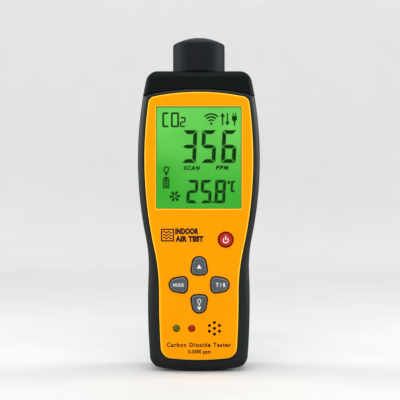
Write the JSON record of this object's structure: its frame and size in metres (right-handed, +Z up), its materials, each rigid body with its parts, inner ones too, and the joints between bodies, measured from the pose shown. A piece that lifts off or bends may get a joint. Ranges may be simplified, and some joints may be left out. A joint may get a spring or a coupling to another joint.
{
  "type": "carbon dioxide monitor",
  "caption": "Handheld gas meter with a waisted casing, tall green display, key pad and domed sensor cap; tripod socket and battery cover at the back.",
  "frame": {"origin": "mouth of the tripod socket, on the flat back face", "axes": "+Z up the instrument towards the sensor cap, display facing -Y, +X to the viewer's right"},
  "size_m": [0.0746, 0.0412, 0.205],
  "materials": {
    "panel_orange": "fine satin moulded plastic, slightly worn at the rim",
    "casing_slate": "fine textured moulded plastic",
    "head_black": "satin moulded plastic",
    "cap_black": "fine textured moulded plastic",
    "key_grey": "satin moulded plastic",
    "key_red": "semi-gloss moulded plastic",
    "clear_window": "clear acrylic",
    "lcd_green": "backlit liquid crystal glass",
    "gasket_black": "matt foam",
    "holder_white": "moulded plastic",
    "light_guide": "clear acrylic",
    "board_green": "solder mask on glass fibre board",
    "chip_black": "moulded epoxy",
    "connector_white": "moulded nylon",
    "steel": "nickel plated steel",
    "screw_black": "black zinc plated steel",
    "brass": "turned brass",
    "lamp_green": "tinted diffused epoxy",
    "lamp_red": "tinted diffused epoxy",
    "cell_wrap": "printed shrink sleeve",
    "black_plastic": "moulded plastic",
    "ring_rubber": "nitrile rubber",
    "filter_white": "porous membrane",
    "sensor_gold": "gold plated housing",
    "label_silver": "printed film, blank fields",
    "wire_red": "insulated wire",
    "wire_black": "insulated wire"
  },
  "bodies": {
    "root": {"backlight_leds": "connector_white", "battery_box": "black_plastic", "battery_cell_1": "cell_wrap", "battery_cell_2": "cell_wrap", "battery_cell_3": "cell_wrap", "battery_leads": "wire_red", "battery_plates": "steel", "battery_springs": "steel", "board_chips": "chip_black", "board_connectors": "connector_white", "board_screws": "steel", "buzzer": "black_plastic", "cap_oring": "ring_rubber", "casing_screws": "screw_black", "co2_sensor": "sensor_gold", "display_window": "clear_window", "fan_cable": "wire_black", "fan_frame": "black_plastic", "filter_disc": "filter_white", "front_casing": "casing_slate", "front_panel": "panel_orange", "green_lamp": "lamp_green", "head_screws": "screw_black", "head_shell": "head_black", "lcd_connector": "gasket_black", "lcd_glass": "lcd_green", "lcd_holder": "holder_white", "lens_gasket": "gasket_black", "light_guide": "light_guide", "main_board": "board_green", "rating_label": "label_silver", "rear_casing": "casing_slate", "red_lamp": "lamp_red", "sensor_board": "board_green", "sensor_cable": "wire_black", "sensor_grille": "black_plastic", "sensor_sleeve": "black_plastic", "tact_switches": "chip_black", "thermistor": "black_plastic", "tripod_insert": "brass", "usb_socket": "steel"},
    "sensor_cap": {"sensor_cap": "cap_black"},
    "battery_cover": {"battery_cover": "casing_slate", "battery_cover_screw": "screw_black"},
    "fan_rotor": {"fan_rotor": "black_plastic"},
    "power_key": {"power_key": "key_red", "power_plunger": "key_grey"},
    "up_key": {"up_key": "key_grey", "up_plunger": "key_grey"},
    "mode_key": {"mode_key": "key_grey", "mode_plunger": "key_grey"},
    "timer_key": {"timer_key": "key_grey", "timer_plunger": "key_grey"},
    "down_key": {"down_key": "key_grey", "down_plunger": "key_grey"}
  },
  "joints": [
    {"name": "power_press", "type": "slide", "parent": "root", "child": "power_key", "axis": [0, 1, 0], "range_m": [0, 0.0008], "stiffness_N_per_m": 300, "springref_m": -0.001},
    {"name": "up_press", "type": "slide", "parent": "root", "child": "up_key", "axis": [0, 1, 0], "range_m": [0, 0.0008], "stiffness_N_per_m": 300, "springref_m": -0.001},
    {"name": "mode_press", "type": "slide", "parent": "root", "child": "mode_key", "axis": [0, 1, 0], "range_m": [0, 0.0008], "stiffness_N_per_m": 300, "springref_m": -0.001},
    {"name": "timer_press", "type": "slide", "parent": "root", "child": "timer_key", "axis": [0, 1, 0], "range_m": [0, 0.0008], "stiffness_N_per_m": 300, "springref_m": -0.001},
    {"name": "down_press", "type": "slide", "parent": "root", "child": "down_key", "axis": [0, 1, 0], "range_m": [0, 0.0008], "stiffness_N_per_m": 300, "springref_m": -0.001},
    {"name": "cap_pull", "type": "slide", "parent": "root", "child": "sensor_cap", "axis": [0, 0, 1], "range_m": [0, 0.03]},
    {"name": "battery_cover_lift", "type": "slide", "parent": "root", "child": "battery_cover", "axis": [0, 1, 0], "range_m": [0, 0.025]},
    {"name": "fan_spin", "type": "hinge", "parent": "root", "child": "fan_rotor", "pos_m": [0, -0.0053, 0.052], "axis": [0, 1, 0], "continuous": true}
  ]
}
